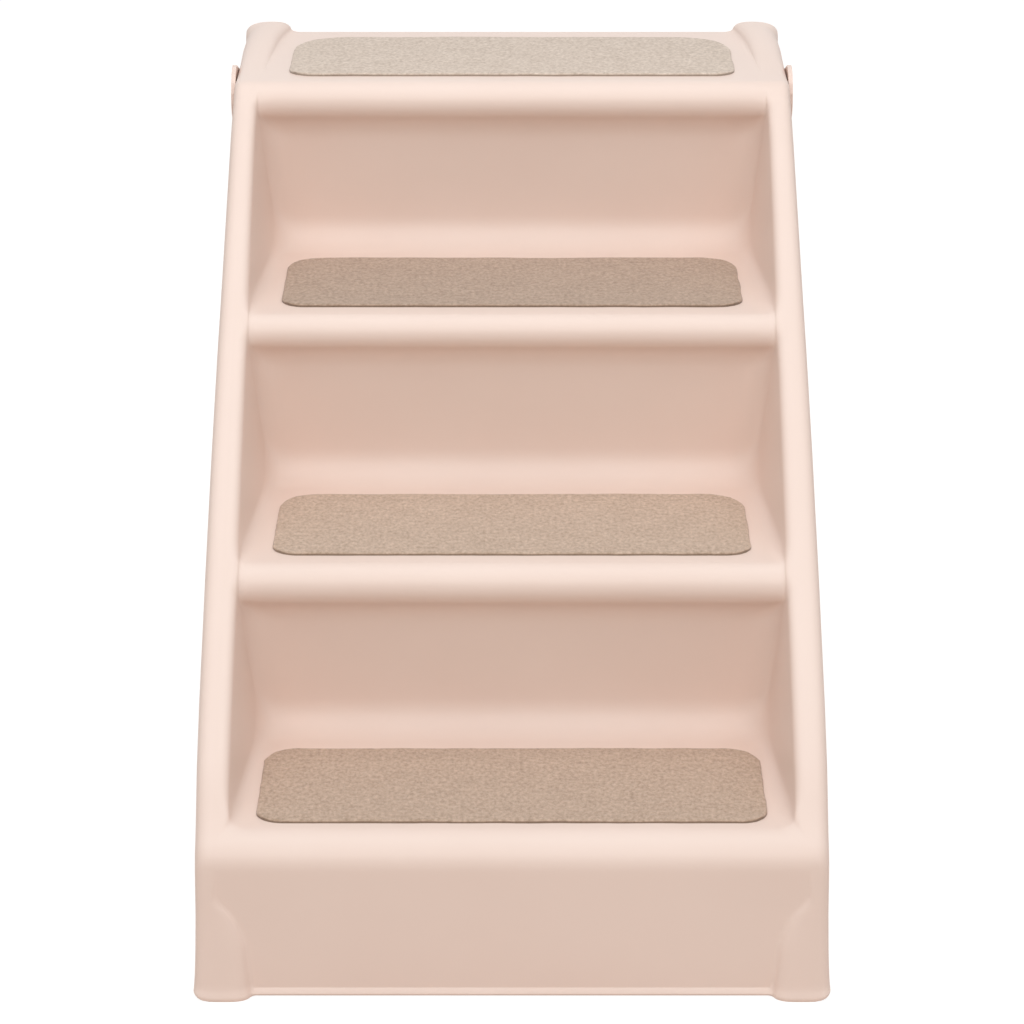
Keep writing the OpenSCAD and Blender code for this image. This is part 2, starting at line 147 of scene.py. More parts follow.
class Finish:
    """The nodes of a material of the stairs, or of the sky."""

    def __init__(self, owner):
        owner.use_nodes = True
        self.owner = owner
        self.tree = owner.node_tree
        self.tree.nodes.clear()

    def add(self, kind, settings=None, values=None, out=0):
        """Adds a node: its settings come first, then the values or wires of its sockets."""
        node = self.tree.nodes.new(kind)
        for key, value in (settings or {}).items():
            setattr(node, key, value)
        for key, value in (values or {}).items():
            if isinstance(value, Wire):
                self.tree.links.new(value.socket, node.inputs[key])
            else:
                node.inputs[key].default_value = value
        return Wire(self, node.outputs[out]) if node.outputs else None

    def place(self, stretch=(1, 1, 1)):
        """Where a point lies on the stairs, in metres, stretched along the axes."""
        where = self.add("ShaderNodeTexCoord", out="Object")
        return self.add("ShaderNodeMapping", {}, {"Vector": where, "Scale": stretch})

    def noise(self, place, scale, detail=2.0, roughness=0.5):
        """A soft random pattern around 0.5."""
        values = {"Vector": place, "Scale": scale, "Detail": detail, "Roughness": roughness}
        return self.add("ShaderNodeTexNoise", {}, values)

    def spread(self, value, low, high):
        """0 at low, 1 at high and even between."""
        return self.add("ShaderNodeMapRange", {}, {0: value, 1: low, 2: high, 3: 0.0, 4: 1.0})

    def blend(self, amount, first, second):
        """A colour between two colours."""
        first, second = (c if isinstance(c, Wire) else (*c, 1) for c in (first, second))
        return self.add("ShaderNodeMix", {"data_type": "RGBA"}, {0: amount, 6: first, 7: second}, 2)

    def bump(self, height, strength):
        """A relief whose height is in metres."""
        return self.add("ShaderNodeBump", {}, {"Height": height, "Distance": 1.0, "Strength": strength})

    def looked_at(self):
        """1 for what the camera sees, in mirrors and through glass too, and 0 for what only lights the stairs."""
        seen = (self.add("ShaderNodeLightPath", out="Is Camera Ray")
                + self.add("ShaderNodeLightPath", out="Is Glossy Ray")
                + self.add("ShaderNodeLightPath", out="Is Transmission Ray"))
        return self.add("ShaderNodeMath", {"operation": "MINIMUM"}, {0: seen, 1: 1.0})

    def close(self, values):
        """Ends a material with a surface of these values."""
        surface = self.add("ShaderNodeBsdfPrincipled", {}, values)
        self.add("ShaderNodeOutputMaterial", {}, {0: surface})
        return self.owner


def tone(colour, times, plus=0.0):
    """A darker or paler tone of a colour."""
    return tuple(c * times + plus for c in colour)


def moulded_plastic(name, light, dark, rough=0.42):
    """Blow-moulded plastic: nearly even colour, a fine grain and a faint waviness."""
    f = Finish(bpy.data.materials.new(name))
    place = f.place()
    cloud = f.noise(place, 9.0, 3.0)
    grain = f.noise(place, 1900.0)
    wave = f.noise(place, 22.0, 1.0)
    specks = f.spread(grain, 0.3, 0.7)
    colour = f.blend(f.spread(cloud, 0.35, 0.65) * 0.7 + specks * 0.3, dark, light)
    return f.close({"Base Color": colour, "Roughness": rough - 0.04 + specks * 0.1, "Specular IOR Level": 0.36,
                    "Normal": f.bump(grain * 0.00006 + wave * 0.0004, 0.5)})


def tread_felt(name, dark, light):
    """Needled felt: fine fibres of several browns pressed into a dense mat, with painted shade on its side faces."""
    f = Finish(bpy.data.materials.new(name))
    place = f.place()
    clump = f.noise(place, 70.0, 3.0, 0.6)
    fleck = f.noise(f.place((400, 250, 400)), 1.0, 3.0, 0.65)
    strand = f.noise(f.place((330, 420, 400)), 1.0, 2.0, 0.6)
    pale = f.noise(place, 620.0, 2.0, 0.8)
    mottled = f.spread(clump, 0.3, 0.7) * 0.15 + f.spread(fleck, 0.25, 0.75) * 0.85
    colour = f.blend(mottled, dark, light)
    colour = f.blend(f.spread(pale, 0.6, 0.75) * 0.3, colour, tone(light, 0.6, 0.36))
    colour = f.blend(f.spread(strand, 0.58, 0.78) * 0.4, colour, tone(dark, 0.7))
    # Painted shade: faces that don't face up, the felt's edges, are darkened to stand in for the thin shadow line
    # along its rim
    upright = f.add("ShaderNodeSeparateXYZ", {}, {0: f.add("ShaderNodeNewGeometry", out="Normal")}, "Z")
    cut = 1 - f.spread(upright, 0.2, 0.75)
    colour = f.blend(cut * 0.75, colour, tone(dark, 0.5))
    return f.close({"Base Color": colour, "Roughness": 0.96, "Specular IOR Level": 0.1, "Sheen Weight": 0.25,
                    "Sheen Roughness": 0.6, "Normal": f.bump(fleck * 0.0005 + strand * 0.0004 + clump * 0.0004, 0.8)})


def turned_steel(name, colour, rough):
    """Zinc-plated steel with fine turning lines."""
    f = Finish(bpy.data.materials.new(name))
    lines = f.noise(f.place((2600, 300, 300)), 1.0, 3.0, 0.6)
    spots = f.noise(f.place(), 300.0)
    return f.close({"Base Color": f.blend(f.spread(spots, 0.35, 0.65), tone(colour, 0.86), colour), "Metallic": 1.0,
                    "Roughness": rough + f.spread(lines, 0.3, 0.7) * 0.14, "Normal": f.bump(lines * 0.00004, 0.6)})


def foot_rubber(name):
    """Dull black-grey rubber, a little dusty."""
    f = Finish(bpy.data.materials.new(name))
    place = f.place()
    dust = f.noise(place, 140.0, 4.0, 0.6)
    grain = f.noise(place, 1600.0)
    colour = f.blend(f.spread(dust, 0.45, 0.75), (0.030, 0.029, 0.028), (0.085, 0.080, 0.075))
    return f.close({"Base Color": colour, "Roughness": 0.75 + f.spread(dust, 0.3, 0.7) * 0.15,
                    "Normal": f.bump(grain * 0.0002, 0.5)})


def floor_finish(name):
    """A pale floor that the camera and mirrors see almost white, with the stairs' soft shadow on it."""
    f = Finish(bpy.data.materials.new(name))
    cloud = f.noise(f.place(), 1.5)
    colour = f.blend(f.spread(cloud, 0.3, 0.7), (0.62, 0.53, 0.47), (0.66, 0.56, 0.50))
    plain = f.add("ShaderNodeBsdfDiffuse", {}, {"Color": colour})
    bright = f.add("ShaderNodeEmission", {}, {"Color": WHITE, "Strength": 1.5})
    surface = f.add("ShaderNodeMixShader", {}, {0: f.looked_at() * 0.6, 1: plain, 2: bright})
    f.add("ShaderNodeOutputMaterial", {}, {0: surface})
    return f.owner


def even_sky(name):
    """A white sky that lights the stairs at half strength."""
    f = Finish(bpy.data.worlds.new(name))
    even = f.add("ShaderNodeBackground", {}, {"Color": WHITE, "Strength": 0.5})
    bright = f.add("ShaderNodeBackground", {}, {"Color": WHITE, "Strength": 1.0})
    f.add("ShaderNodeOutputWorld", {}, {0: f.add("ShaderNodeMixShader", {}, {0: f.looked_at(), 1: even, 2: bright})})
    return f.owner


def new_piece(name, points, faces, material):
    """A smooth mesh piece from points in millimetres."""
    mesh = bpy.data.meshes.new(name)
    mesh.from_pydata([tuple(c * MM for c in p) for p in points], [], faces)
    mesh.validate()
    mesh.update()
    mesh.polygons.foreach_set("use_smooth", [True] * len(mesh.polygons))
    mesh.materials.append(material)
    piece = bpy.data.objects.new(name, mesh)
    bpy.context.scene.collection.objects.link(piece)
    return piece


def stand_for(piece, node):
    """Puts a piece on the stairs in the place of a construction piece."""
    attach(piece, "stairs")
    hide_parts(node)


def arc(centre, radius, start, end, count):
    """Points on an arc between two angles in degrees."""
    turns = np.radians(np.linspace(start, end, count))
    return np.array(centre) + radius * np.column_stack([np.cos(turns), np.sin(turns)])


def between(first, last, count):
    """Points on a straight line, without its first point."""
    share = np.linspace(0, 1, count + 1)[1:, None]
    return np.array(first) * (1 - share) + np.array(last) * share


def curve_corner(first, corner, last, count):
    """Points that round a corner, from first to last, without the first one."""
    share = np.linspace(0, 1, count + 1)[1:, None]
    return (1 - share) ** 2 * first + 2 * share * (1 - share) * corner + share ** 2 * last


def ease(value, low, high):
    """0 below low, 1 above high and a smooth rise between."""
    share = np.clip((value - low) / (high - low), 0, 1)
    return share * share * (3 - 2 * share)


def band(first, second, count):
    """Faces between two rings of points, from the number of each ring's first point."""
    return [(first + k, first + (k + 1) % count, second + (k + 1) % count, second + k) for k in range(count)]


def grid_faces(rows, wide, flip=False):
    """Faces of a grid of points that are numbered row by row."""
    starts = [r * wide + k for r in range(rows - 1) for k in range(wide - 1)]
    if flip:
        return [(p, p + wide, p + wide + 1, p + 1) for p in starts]
    return [(p, p + 1, p + wide + 1, p + wide) for p in starts]


def turned(name, profile, side, material, closed=True):
    """A turned piece on the pivot's axis, from its profile of (x, radius) points."""
    count, rings = 48, len(profile)
    turns = [k * math.tau / count for k in range(count)]
    points = [(side * x, PIVOT[0] + radius * math.cos(turn), PIVOT[1] + side * radius * math.sin(turn))
              for x, radius in profile for turn in turns]
    faces = []
    for r in range(rings if closed else rings - 1):
        faces += band(r * count, (r + 1) % rings * count, count)
    if not closed:
        faces.append(tuple(reversed(range(count))))
        faces.append(tuple(range((rings - 1) * count, rings * count)))
    piece = new_piece(name, points, faces, material)
    piece.data.set_sharp_from_angle(angle=SHARP)
    return piece


def slab(name, centre, size, edge, material):
    """A block with rounded upright corners and softened rims."""
    radius = min(size[0], size[1]) * 0.2
    points = []
    for z, inset in ((-0.5, edge), (-0.5 + edge / size[2], 0.0), (0.5 - edge / size[2], 0.0), (0.5, edge)):
        for x, y, start in ((1, 1, 0), (-1, 1, 90), (-1, -1, 180), (1, -1, 270)):
            corner = (x * (size[0] / 2 - radius), y * (size[1] / 2 - radius))
            for p in arc(corner, radius - inset, start, start + 90, 6):
                points.append((centre[0] + p[0], centre[1] + p[1], centre[2] + z * size[2]))
    count = len(points) // 4
    faces = [tuple(reversed(range(count))), tuple(range(3 * count, 4 * count))]
    for r in range(3):
        faces += band(r * count, (r + 1) * count, count)
    piece = new_piece(name, points, faces, material)
    piece.data.set_sharp_from_angle(angle=SHARP)
    return piece


def step_arcs(i):
    """The arcs of a step, from below: the riser's foot, the tuck under the nose and the nose itself."""
    nose_r = NOSE_RS[i]
    nose_c = np.array([NOSES[i] + nose_r, TREADS[i] - nose_r])
    back = np.array([math.cos(RISER_LEAN), math.sin(RISER_LEAN)])
    up = np.array([-math.sin(RISER_LEAN), math.cos(RISER_LEAN)])
    foot_c = np.array([NOSES[i] + RISER_BACK - FOOT_R * back[0], TREADS[i - 1] + FOOT_R])
    # The tuck's centre slides along the riser until the tuck touches the nose
    begin = foot_c + (FOOT_R - TUCK_R) * back
    away = begin - nose_c
    along = away @ up
    tuck_c = begin + (-along - math.sqrt(along ** 2 - away @ away + (nose_r + TUCK_R) ** 2)) * up
    lean = math.degrees(RISER_LEAN)
    turn = math.degrees(math.atan2(nose_c[1] - tuck_c[1], nose_c[0] - tuck_c[0]))
    return (arc(foot_c, FOOT_R, -90, lean, 12), arc(tuck_c, TUCK_R, lean, turn, 8),
            arc(nose_c, nose_r, turn + 180, 90, 16)[1:])


def flight_line():
    """Side view of the flight's middle, from the floor up to the rear edge, with the name of each stretch."""
    points, names = [], []

    def take(more, name):
        points.extend(more)
        names.extend([name] * len(more))

    first_r = NOSE_RS[0]
    first = arc((FRONT + first_r, TREADS[0] - first_r), first_r, 180 + math.degrees(PANEL_LEAN), 90, 16)
    low = np.array([first[0][0] + (first[0][1] - PANEL_FOOT) * math.tan(PANEL_LEAN), PANEL_FOOT])
    take([low + (-2.2, 0.0), low + (-2.9, 1.3), low + (-2.3, 2.8), low + (-0.8, 4.8)], "panel")
    take(between(points[-1], first[0], 24)[:-1], "panel")
    take(first, "first nose")
    for i in range(1, 4):
        foot, tuck, nose = step_arcs(i)
        take(between(points[-1], foot[0], 20)[:-1], "tread")
        take(foot, "foot")
        take(between(foot[-1], tuck[0], 14)[:-1], "riser")
        take(tuck, "tuck")
        take(nose, "nose")
    rear = arc((REAR - REAR_R, TOP - REAR_R), REAR_R, 90, 0, 8)
    take(between(points[-1], rear[0], 34)[:-1], "top")
    take(rear, "rear")
    take(between(rear[-1], (REAR, RIM_FOOT), 2), "rear")
    return np.array(points), np.array(names)


class Rows:
    """The rows of the shell's skin: one section across the stairs at each point of the flight's line."""

    def __init__(self, line, names):
        self.line, self.names = line, names
        self.count = len(line)
        self.number = np.arange(self.count)
        self.panel, self.first = names == "panel", names == "first nose"
        self.top = (names == "top") | (names == "rear")
        self.rear = np.where(names == "rear")[0]
        self.panel_end = self.panel.sum()
        self.first_count = self.first.sum()
        self.first_end = self.panel_end + self.first_count
        self.top_start = np.where(self.top)[0][0]
        self.last_nose = np.where(names == "nose")[0][-15]
        # Where the rail sinks into the front corner of the top tread
        self.merging = (self.number >= self.last_nose - 14) & (self.number < self.top_start)


def outer_half(y, z):
    """Half the width over the side walls, which spread a little towards the floor in front."""
    wide = np.interp(y, [-310, -262, -231, -162, -90, -30, 0, 30, 120, 150, 172],
                     [197.6, 198.6, 198.9, 198.7, 198.1, 197.2, 196.5, 195.9, 194.3, 193.2, 192.5])
    return wide + np.interp(z, [0, 6, 18, 38, 64, 92], [3.0, 2.7, 1.9, 0.9, 0.2, 0])


def climb(rows):
    """How far each row is up the slope. No row lies before the one in front of it, or the side walls would fold."""
    travel = (rows.line - LINE_POINT) @ ALONG
    travel[rows.rear] = travel[rows.rear[0]] + 0.6 * np.arange(len(rows.rear))
    for k in range(rows.count - 2, -1, -1):
        gap = 1.7 if rows.names[k] in ("tuck", "nose") else 0.8
        tight = travel[k + 1] - travel[k] < gap
        travel[k] = min(travel[k], travel[k + 1] - gap * (0.25 + 0.75 * tight))
    return travel


def rail_path(rows, travel):
    """The rail's upper outer edge at each row. It spaces out the travel of the rows behind the front corner."""
    # A bend at the front corner, and then a straight run up the flight
    bend_r = NOSE_RS[0] - 0.1
    bend_c = np.array([FRONT + NOSE_RS[0], TREADS[0] - NOSE_RS[0]])
    bend_up = (bend_c - LINE_POINT) @ UPWARD + bend_r
    bend_along = (bend_c - LINE_POINT) @ ALONG
    split, behind = rows.panel_end + int(rows.first_count * 0.6), rows.first_end + 6
    travel[split:behind] = np.linspace(bend_along, travel[behind], behind - split + 2)[1:-1]
    nose_c = np.array([NOSES[3] + NOSE_RS[3], TOP - NOSE_RS[3]])
    last_nose = (nose_c - LINE_POINT) @ ALONG
    lift = bend_up + (RAIL_RISE - bend_up) * ease(travel, bend_along + 4, bend_along + 55)
    lift = lift + (0.4 - lift) * ease(travel, last_nose - 50, last_nose - 8)
    rail = LINE_POINT + travel[:, None] * ALONG + lift[:, None] * UPWARD
    rail[rows.panel_end:split] = arc(bend_c, bend_r, 180, 90 + math.degrees(SLOPE), split - rows.panel_end)

    # The column's front, with the lip at its foot
    height = np.interp(rows.line[rows.panel, 1], [PANEL_FOOT, TREADS[0] - NOSE_RS[0]], [0.0, bend_c[1]])
    rail[rows.panel] = np.column_stack([np.full(rows.panel_end, FRONT + 0.1), height])
    rail[:4] = [[FRONT - 0.8, 0.0], [FRONT - 1.5, 1.4], [FRONT - 1.3, 3.0], [FRONT - 0.4, 5.4]]

    # The front corner of the top tread, which the rail bends into
    merging = rows.merging
    over = rail[:, 1] - (TOP - 0.6)
    rail[merging, 1] -= np.logaddexp(0, over[merging] / 1.2) * 1.2
    share = ease(rows.number, rows.last_nose + 4, rows.top_start)[:, None]
    rail[merging] = rail[merging] * (1 - share[merging]) + (rows.line[merging] + [0, 0.15]) * share[merging]

    # The raised rear corner, and the dome that it ends in
    y = rows.line[rows.top, 0]
    horn = HORN_RISE * ease(y, NOSES[3] + 20, REAR - 26) + 0.15
    rail[rows.top] = rows.line[rows.top] + np.column_stack([np.zeros(len(y)), horn])
    start = rows.rear[0]
    dome = arc(DOME, DOME_R, 84, 0, len(rows.rear) - 2)
    rail[rows.rear[:-2]] = dome
    rail[rows.rear[-2:]] = between(dome[-1], (REAR, RIM_FOOT), 2)
    rail[start - 6:start, 0] = np.linspace(rail[start - 7, 0], dome[0][0], 8)[1:-1]
    return rail


def lower_edge(rows, travel):
    """The lower edge of the side wall at each row: level under the column, and then up along the slope."""
    base = LINE_POINT + travel[:, None] * ALONG - SIDE_DEPTH * UPWARD
    drop, sole = SIDE_DEPTH / math.cos(SLOPE), 0.8
    floor_y = LINE_POINT[0] + (sole - LINE_POINT[1] + drop) / math.tan(SLOPE)
    lowest = rows.panel_end + int(rows.first_count * 0.5)
    path = np.vstack([[FRONT + 13, sole], [floor_y, sole], base[lowest]])
    gaps = np.r_[0, np.cumsum(np.linalg.norm(np.diff(path, axis=0), axis=1))]
    steps = np.linspace(0, gaps[-1], lowest + 1)
    base[:lowest + 1] = np.column_stack([np.interp(steps, gaps, path[:, 0]), np.interp(steps, gaps, path[:, 1])])
    final_y = REAR - 9.0
    final = np.array([final_y, LINE_POINT[1] + (final_y - LINE_POINT[0]) * math.tan(SLOPE) - drop])
    turn = rows.top_start - 10
    base[turn:] = base[turn] + (final - base[turn]) * np.linspace(0, 1, rows.count - turn)[:, None]
    return base


def section_radii(rows):
    """Radii at each row: at the wall's foot, and at the rail's inner and outer edge.

    lean is the share of the wall that the inner edge may take, and reach is how far the foot's rounding may go into
    the tread.
    """
    y, names = rows.line[:, 0], rows.names
    r_foot, r_in, r_out = np.full(rows.count, 15.0), np.full(rows.count, 7.0), np.full(rows.count, 9.0)
    r_foot[rows.panel], r_in[rows.panel] = 2.5, 10.0
    for name, radius in (("riser", 24.0), ("tuck", 24.0), ("foot", 20.0), ("tread", 11.0)):
        r_foot[names == name] = radius
    blur = np.hanning(13) / np.hanning(13).sum()
    flight = slice(rows.first_end, rows.top_start)
    r_foot[flight] = np.convolve(np.pad(r_foot[flight], 6, "edge"), blur, "valid")
    r_foot[rows.top] = np.interp(y[rows.top], [146.5, 185], [8.0, 7.0])
    r_in[rows.top] = np.interp(y[rows.top], [146.5, 200, 310], [8.0, 12.0, 17.0])
    r_out[:rows.panel_end] = np.interp(rows.number[:rows.panel_end], [0, rows.panel_end], [6.0, 9.0])
    r_out[rows.merging] = np.interp(rows.number[rows.merging], [rows.last_nose - 6, rows.top_start], [9.0, 7.0])
    r_out[rows.top] = np.interp(y[rows.top], [146.5, 200, 290], [7.0, 10.0, 19.0])
    lean = np.where(rows.top, np.interp(y, [146.5, 200, 250], [0.8, 0.72, 0.6]), 0.48)
    lean[rows.panel] = 0.6
    reach = np.where((names == "nose") | (names == "tuck"), 17.0, 11.0)
    reach[rows.merging] = 18.0
    return {"r_foot": r_foot, "r_in": r_in, "r_out": r_out, "lean": lean, "reach": reach}


def wall_widths(rows, rail, r_out):
    """Half widths at each row: where the wall leaves the tread, where it reaches the rail, and the outer side."""
    rise = (rows.line - LINE_POINT) @ UPWARD
    wall_foot = INNER_HALF - (RAIL_RISE - rise) * 0.108
    wall_top = np.full(rows.count, INNER_HALF)
    outer = outer_half(rail[:, 0], rail[:, 1])

    # The column narrows towards the floor
    z = rows.line[rows.panel, 1]
    heights = [0, 9, 21, 37, 46, 55, 61, 66, 70, 92]
    foot_widths = [163.4, 164.4, 165.5, 167.0, 169.7, 173.4, 177.5, 182.0, 185.0, 186.0]
    top_widths = [168.4, 169.4, 170.5, 172.0, 174.6, 178.2, 182.0, 186.6, 190.2, 193.0]
    wall_foot[rows.panel] = np.interp(z, heights, foot_widths)
    wall_top[rows.panel] = np.interp(z, heights, top_widths)
    inwards = ease(np.arange(rows.first_count), rows.first_count * 0.3, rows.first_count - 1)
    wall_foot[rows.first] = 186.5 - 10.5 * inwards
    wall_top[rows.first] = 193.0 - 15.0 * inwards

    # The raised rear corners widen inwards
    y = rows.line[rows.top, 0]
    crease = np.interp(y, [146.5, 185, 220, 262, 290, 310], [175.5, 173.5, 171.3, 168.0, 164.0, 160.5])
    wall_foot[rows.top] = crease
    wall_top[rows.top] = crease + 2.5
    outer[rows.top] = np.interp(y, [146.5, 160, 205, 250], [193.6, 193.2, 193.6, 194.6])
    wall_top = np.minimum(wall_top, outer - r_out - 1.6)
    wall_foot = np.minimum(wall_foot, wall_top - 2.5)
    return {"wall_foot": wall_foot, "wall_top": wall_top, "outer": outer}


def outer_corner(rail, base, outer, r_out):
    """The rail's outer corner, the place where its rounding ends, and how long the rounding's two legs are."""
    edge = np.array([outer, *rail])
    sole = np.array([outer_half(*base), *base])
    fall = np.linalg.norm(sole - edge)
    down = (sole - edge) / max(fall, 1e-6)
    leg_out = leg_down = min(r_out, fall * 0.45)
    if rail[0] > REAR - 30:
        # On the raised rear corner the rows first turn in towards the dome's middle, so that they don't cross
        bend = ease(rail[0], REAR - 24, DOME[0])
        inwards = np.array([0.0, min(0.0, DOME[0] - rail[0]), min(-1e-6, DOME[1] - rail[1])])
        down = down * (1 - bend) + inwards / np.linalg.norm(inwards) * bend
        leg_out, leg_down = r_out, r_out + (9 - r_out) * bend
    return edge, edge + down * leg_down, leg_out, leg_down


def shell_section(tread, rail, base, wall_foot, wall_top, outer, r_foot, r_in, r_out, lean, reach):
    """Points across half of the shell at one row: from the middle, up the wall, over the rail and down outside."""
    foot, top = np.array([wall_foot, *tread]), np.array([wall_top, *rail])
    wall = np.linalg.norm(top - foot)
    up = (top - foot) / max(wall, 1e-6)
    leg_foot = min(r_foot, wall * min(0.48, 0.96 - lean))
    leg_in = min(r_in, wall * lean)
    edge, knee, leg_out, leg_down = outer_corner(rail, base, outer, r_out)
    before = foot - np.array([max(leg_foot, min(r_foot, reach)), 0, 0])
    inner = top + np.array([min(r_in, (outer - wall_top - leg_out) * 0.9), 0, 0])
    crown = edge - np.array([leg_out, 0, 0])
    points = [np.array([0.0, *tread])]
    points.extend(between(points[0], before, 22))
    points.extend(curve_corner(before, foot, foot + up * leg_foot, 9))
    points.extend(between(foot + up * leg_foot, top - up * leg_in, 6))
    points.extend(curve_corner(top - up * leg_in, top, inner, 7))
    points.extend(between(inner, crown, 4))
    points.extend(curve_corner(crown, edge, knee, 9))

    # Down the side wall, whose lower rim turns out a little except near the floor and beside the frame
    rest = np.array([outer_half(*base), *base]) - knee
    fall = leg_down + np.linalg.norm(rest)
    rest = rest / max(np.linalg.norm(rest), 1e-6)
    slack = outer_half(*rail) - outer
    tail = min(4.0, fall * 0.12)
    drops = np.r_[np.linspace(leg_down, fall - tail, 15)[1:], fall - tail * 0.6, fall - tail * 0.3, fall]
    lips = np.array([0] * 14 + [0.6, 1.0, 0.6]) * ease(base[1], 3, 25) * (1 - ease(base[0], 90, 120))
    for drop, lip in zip(drops, lips):
        p = knee + rest * (drop - leg_down)
        p[0] = outer_half(p[1], p[2]) - slack * (1 - ease(drop, leg_down, leg_down + 6)) + lip
        points.append(p)
    return np.array(points)


def round_column(section):
    """Rounds the lower outer corner of a front column at one row."""
    x, y, z = section.T
    lift = 7.5 * (1 - np.sqrt(1 - np.clip((x - 188.0) / 13.2, 0, 1) ** 2))
    section[:, 2] += lift * np.clip(1 - z / 25, 0, 1) ** 2 * (1 - ease(y, FRONT + 3, FRONT + 30))
    return section


def cut_openings(skin, material):
    """Cuts the pivot's bores and the lock slides' slots into the skin, and keeps the result as its mesh."""
    cutters = []
    for side in (-1, 1):
        cutters.append(turned("bore", [(184, BORE_R), (199, BORE_R)], side, material, closed=False))
        cutters.append(slab("keeper", (side * 191.5, SLOT_Y, SLOT_Z), (9.0, SLOT_LONG, SLOT_HIGH), 0.6, material))
    for cutter in cutters:
        cut = skin.modifiers.new("cut", "BOOLEAN")
        cut.operation = "DIFFERENCE"
        cut.object = cutter
        cut.solver = "EXACT"
    shape = bpy.data.meshes.new_from_object(skin.evaluated_get(bpy.context.evaluated_depsgraph_get()))
    skin.modifiers.clear()
    skin.data = shape
    shape.set_sharp_from_angle(angle=SHARP)
    for cutter in cutters:
        bpy.data.objects.remove(cutter)


def build_shell(material):
    """The moulded stair shell: one skin from rail to rail, thickened inwards."""
    rows = Rows(*flight_line())
    travel = climb(rows)
    rail = rail_path(rows, travel)
    base = lower_edge(rows, travel)
    measures = section_radii(rows)
    measures.update(wall_widths(rows, rail, measures["r_out"]))
    points = []
    for k in range(rows.count):
        here = {name: values[k] for name, values in measures.items()}
        section = round_column(shell_section(rows.line[k], rail[k], base[k], **here))
        points.extend(section[:0:-1] * np.array([-1, 1, 1]))
        points.extend(section)
    skin = new_piece("stair_shell_skin", points, grid_faces(rows.count, len(points) // rows.count), material)
    wall = skin.modifiers.new("wall", "SOLIDIFY")
    wall.thickness = WALL * MM
    wall.offset = -1
    cut_openings(skin, material)
    return skin


def build_shell_details(material):
    """The bosses that carry the pivot bolts and the plates over the front foot pads."""
    boss = [(181.0, BORE_R), (180.5, 4.6), (180.5, 10.3), (180.9, 10.9), (181.5, 11.0), (186.6, 11.0), (188.4, 11.6),
            (189.6, 13.2), (190.0, 13.4), (190.0, BORE_R)]
    pieces = []
    for side, word in ((-1, "left"), (1, "right")):
        pieces.append(turned("stair_shell_boss_" + word, boss, side, material))
        pieces.append(slab("stair_shell_foot_" + word, (side * 181.6, -289.4, 4.2), (29.0, 35.0, 2.9), 0.5, material))
    return pieces


def rounded_grid(width, depth, front_r, rear_r, chamfer):
    """A grid of points that fills a plate with rounded corners, and how far each lies from the edge."""
    near = [0, 0.35, 0.8, 1.5, 2.6, 4.5]

    def ruler(size):
        inner = np.linspace(near[-1], size - near[-1], max(3, int(size / 4.0)))[1:-1]
        return np.r_[near, inner, [size - n for n in near[::-1]]]

    xs, ys = np.meshgrid(ruler(width) - width / 2, ruler(depth), indexing="ij")
    edge = np.minimum.reduce([xs + width / 2, width / 2 - xs, ys, depth - ys])
    for side in (-1, 1):
        for r, share, rear in ((front_r, 0.0, False), (rear_r, chamfer, True)):
            # p and q run from 0 to 1 towards the plate's corner, and u and v from 0 to the rounded one
            p = (side * xs - (width / 2 - r)) / r
            q = ((ys - (depth - r)) if rear else (r - ys)) / r
            spot = (p > 0) & (q > 0)
            p, q = np.clip(p, 0, 1), np.clip(q, 0, 1)
            u = p * (np.sqrt(1 - q * q / 2) * (1 - share) + (1 - q / 2) * share)
            v = q * (np.sqrt(1 - p * p / 2) * (1 - share) + (1 - p / 2) * share)
            xs = np.where(spot, side * (width / 2 - r + u * r), xs)
            ys = np.where(spot, (depth - r + v * r) if rear else (r - v * r), ys)
    return xs, ys, edge


def build_carpet(i, material):
    """The felt on one tread, cut by hand and laid flat."""
    width = FELT_WIDTHS[i]
    xs, ys, edge = rounded_grid(width, FELT_DEPTH, FELT_FRONT_R, FELT_REAR_RS[i], FELT_CUT[i])
    front, under = NOSES[i] + FELT_BACK, TREADS[i] - FELT_SINK
    top = np.empty(xs.shape)
    for index in np.ndindex(xs.shape):
        x, y = xs[index], ys[index]
        rag = (noise.noise(Vector((x * 0.05, y * 0.05, i * 3.0))) * 0.7
               + noise.noise(Vector((x * 0.3, y * 0.3, i))) * 0.25) * max(0.0, 1 - edge[index] / 4.5)
        xs[index] += rag * (1 if x > 0 else -1)
        ys[index] += rag * (1 if y > FELT_DEPTH / 2 else -1) * 0.8
        roll = 0.9 * max(0.0, 1 - edge[index] / 1.5) ** 2
        sway = noise.noise(Vector((x * 0.02, y * 0.02, i * 7.0))) * 0.35
        fibre = noise.noise(Vector((x * 0.6, y * 0.6, i))) * 0.16
        top[index] = FELT_THICK - roll + sway + fibre
    across, along = xs.shape
    points = [(xs[index], front + ys[index], under + top[index]) for index in np.ndindex(xs.shape)]
    faces = grid_faces(across, along, flip=True)

    # The cut edge: a ring around the top, one above the tread and one on it
    rim = [j * along for j in range(across)] + [(across - 1) * along + k for k in range(1, along)]
    rim += [j * along + along - 1 for j in range(across - 2, -1, -1)] + [k for k in range(along - 2, 0, -1)]
    first = len(points)
    points += [(points[p][0], points[p][1], under + 1.2) for p in rim]
    second = len(points)
    points += [(points[p][0] * 0.9985, points[p][1], under) for p in rim]
    count = len(rim)
    for k in range(count):
        n = (k + 1) % count
        faces.append((rim[n], rim[k], first + k, first + n))
        faces.append((first + n, first + k, second + k, second + n))
    faces.append(tuple(second + k for k in reversed(range(count))))
    piece = new_piece("felt_tread_%d" % (i + 1), points, faces, material)
    stand_for(piece, "tread_carpet_%d" % (i + 1))


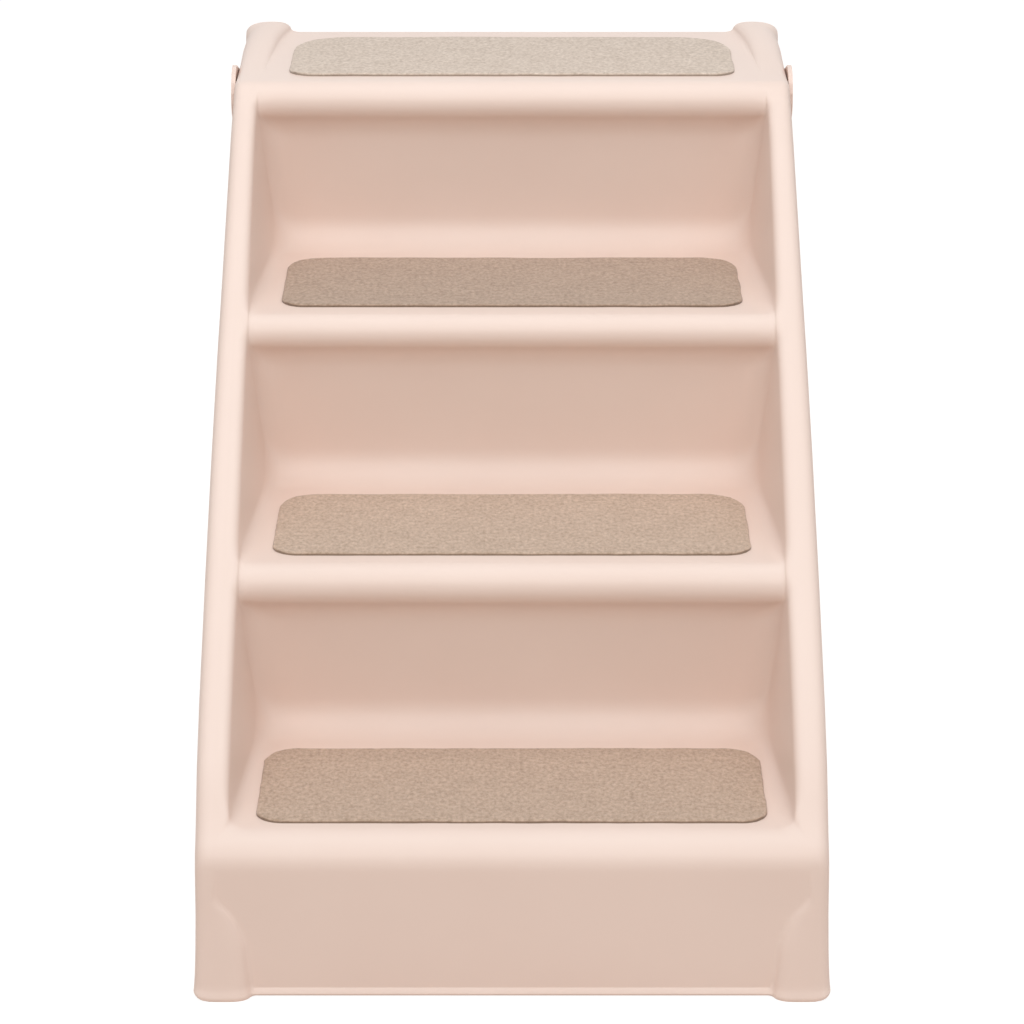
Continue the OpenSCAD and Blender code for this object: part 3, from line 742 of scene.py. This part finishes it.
def soften_edges(node, width, material):
    """Gives a construction piece rounded edges and its finish."""
    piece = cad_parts[node]
    piece.data.materials.clear()
    piece.data.materials.append(material)
    merge = piece.modifiers.new("merge", "WELD")
    merge.merge_threshold = 0.00001
    flat = piece.modifiers.new("flat", "DECIMATE")
    flat.decimate_type = "DISSOLVE"
    flat.angle_limit = math.radians(1)
    edge = piece.modifiers.new("edge", "BEVEL")
    edge.width = width * MM
    edge.segments = 2
    edge.limit_method = "ANGLE"
    edge.angle_limit = math.radians(38)
    edge.harden_normals = False


def add_studio():
    """A pale wide floor, soft lamps and an even sky."""
    half, count = 7000.0, 9
    ruler = [half * (2 * k / (count - 1) - 1) for k in range(count)]
    points = [(x, y, 0.0) for x in ruler for y in ruler]
    floor = new_piece("studio_floor", points, grid_faces(count, count, flip=True), floor_finish("studio_floor"))
    bpy.context.scene.world = even_sky("studio_sky")
    add_lamp("overhead", (0, -0.5, 2.1), (2.4, 1.8), 22, (0.93, 0.975, 1.0))
    add_lamp("front_left", (-0.6, -3.1, 2.1), (1.5, 1.5), 18, (1.0, 0.975, 0.955))
    add_lamp("front_right", (0.6, -3.1, 2.1), (1.5, 1.5), 18, (1.0, 0.975, 0.955))


bpy.context.scene.view_settings.view_transform = "Standard"
add_camera()

shell_plastic = moulded_plastic("shell_plastic", (0.829, 0.672, 0.594), (0.811, 0.650, 0.572))
frame_plastic = moulded_plastic("frame_plastic", (0.825, 0.655, 0.577), (0.805, 0.630, 0.552), 0.46)
lock_plastic = moulded_plastic("lock_plastic", (0.105, 0.088, 0.080), (0.085, 0.072, 0.066), 0.5)
spacer_nylon = moulded_plastic("spacer_nylon", (0.78, 0.76, 0.71), (0.74, 0.72, 0.67), 0.4)
felts = [tread_felt("felt_%d" % (i + 1), *browns) for i, browns in enumerate(FELT_BROWNS)]
pivot_steel = turned_steel("pivot_steel", (0.62, 0.62, 0.60), 0.26)
screw_steel = turned_steel("screw_steel", (0.66, 0.66, 0.65), 0.3)
rubber = foot_rubber("foot_rubber")

for piece in [build_shell(shell_plastic)] + build_shell_details(shell_plastic):
    stand_for(piece, "stair_shell")
for i in range(4):
    build_carpet(i, felts[i])

# The construction pieces that are kept, with the width of their rounded edges in millimetres
KEPT = {
    "rear_frame": (0.7, frame_plastic),
    "left_lock_cover": (0.4, frame_plastic), "right_lock_cover": (0.4, frame_plastic),
    "lock_cover_screws": (0.3, screw_steel),
    "left_lock": (0.6, lock_plastic), "right_lock": (0.6, lock_plastic),
    "pivot_bolts": (0.25, pivot_steel), "pivot_washers": (0.2, pivot_steel), "pivot_nuts": (0.4, pivot_steel),
    "pivot_spacers": (0.2, spacer_nylon),
    "left_front_foot_pad": (0.4, rubber), "right_front_foot_pad": (0.4, rubber),
    "left_rear_foot_pad": (0.4, rubber), "right_rear_foot_pad": (0.4, rubber),
}
for node, (width, material) in KEPT.items():
    soften_edges(node, width, material)

add_studio()
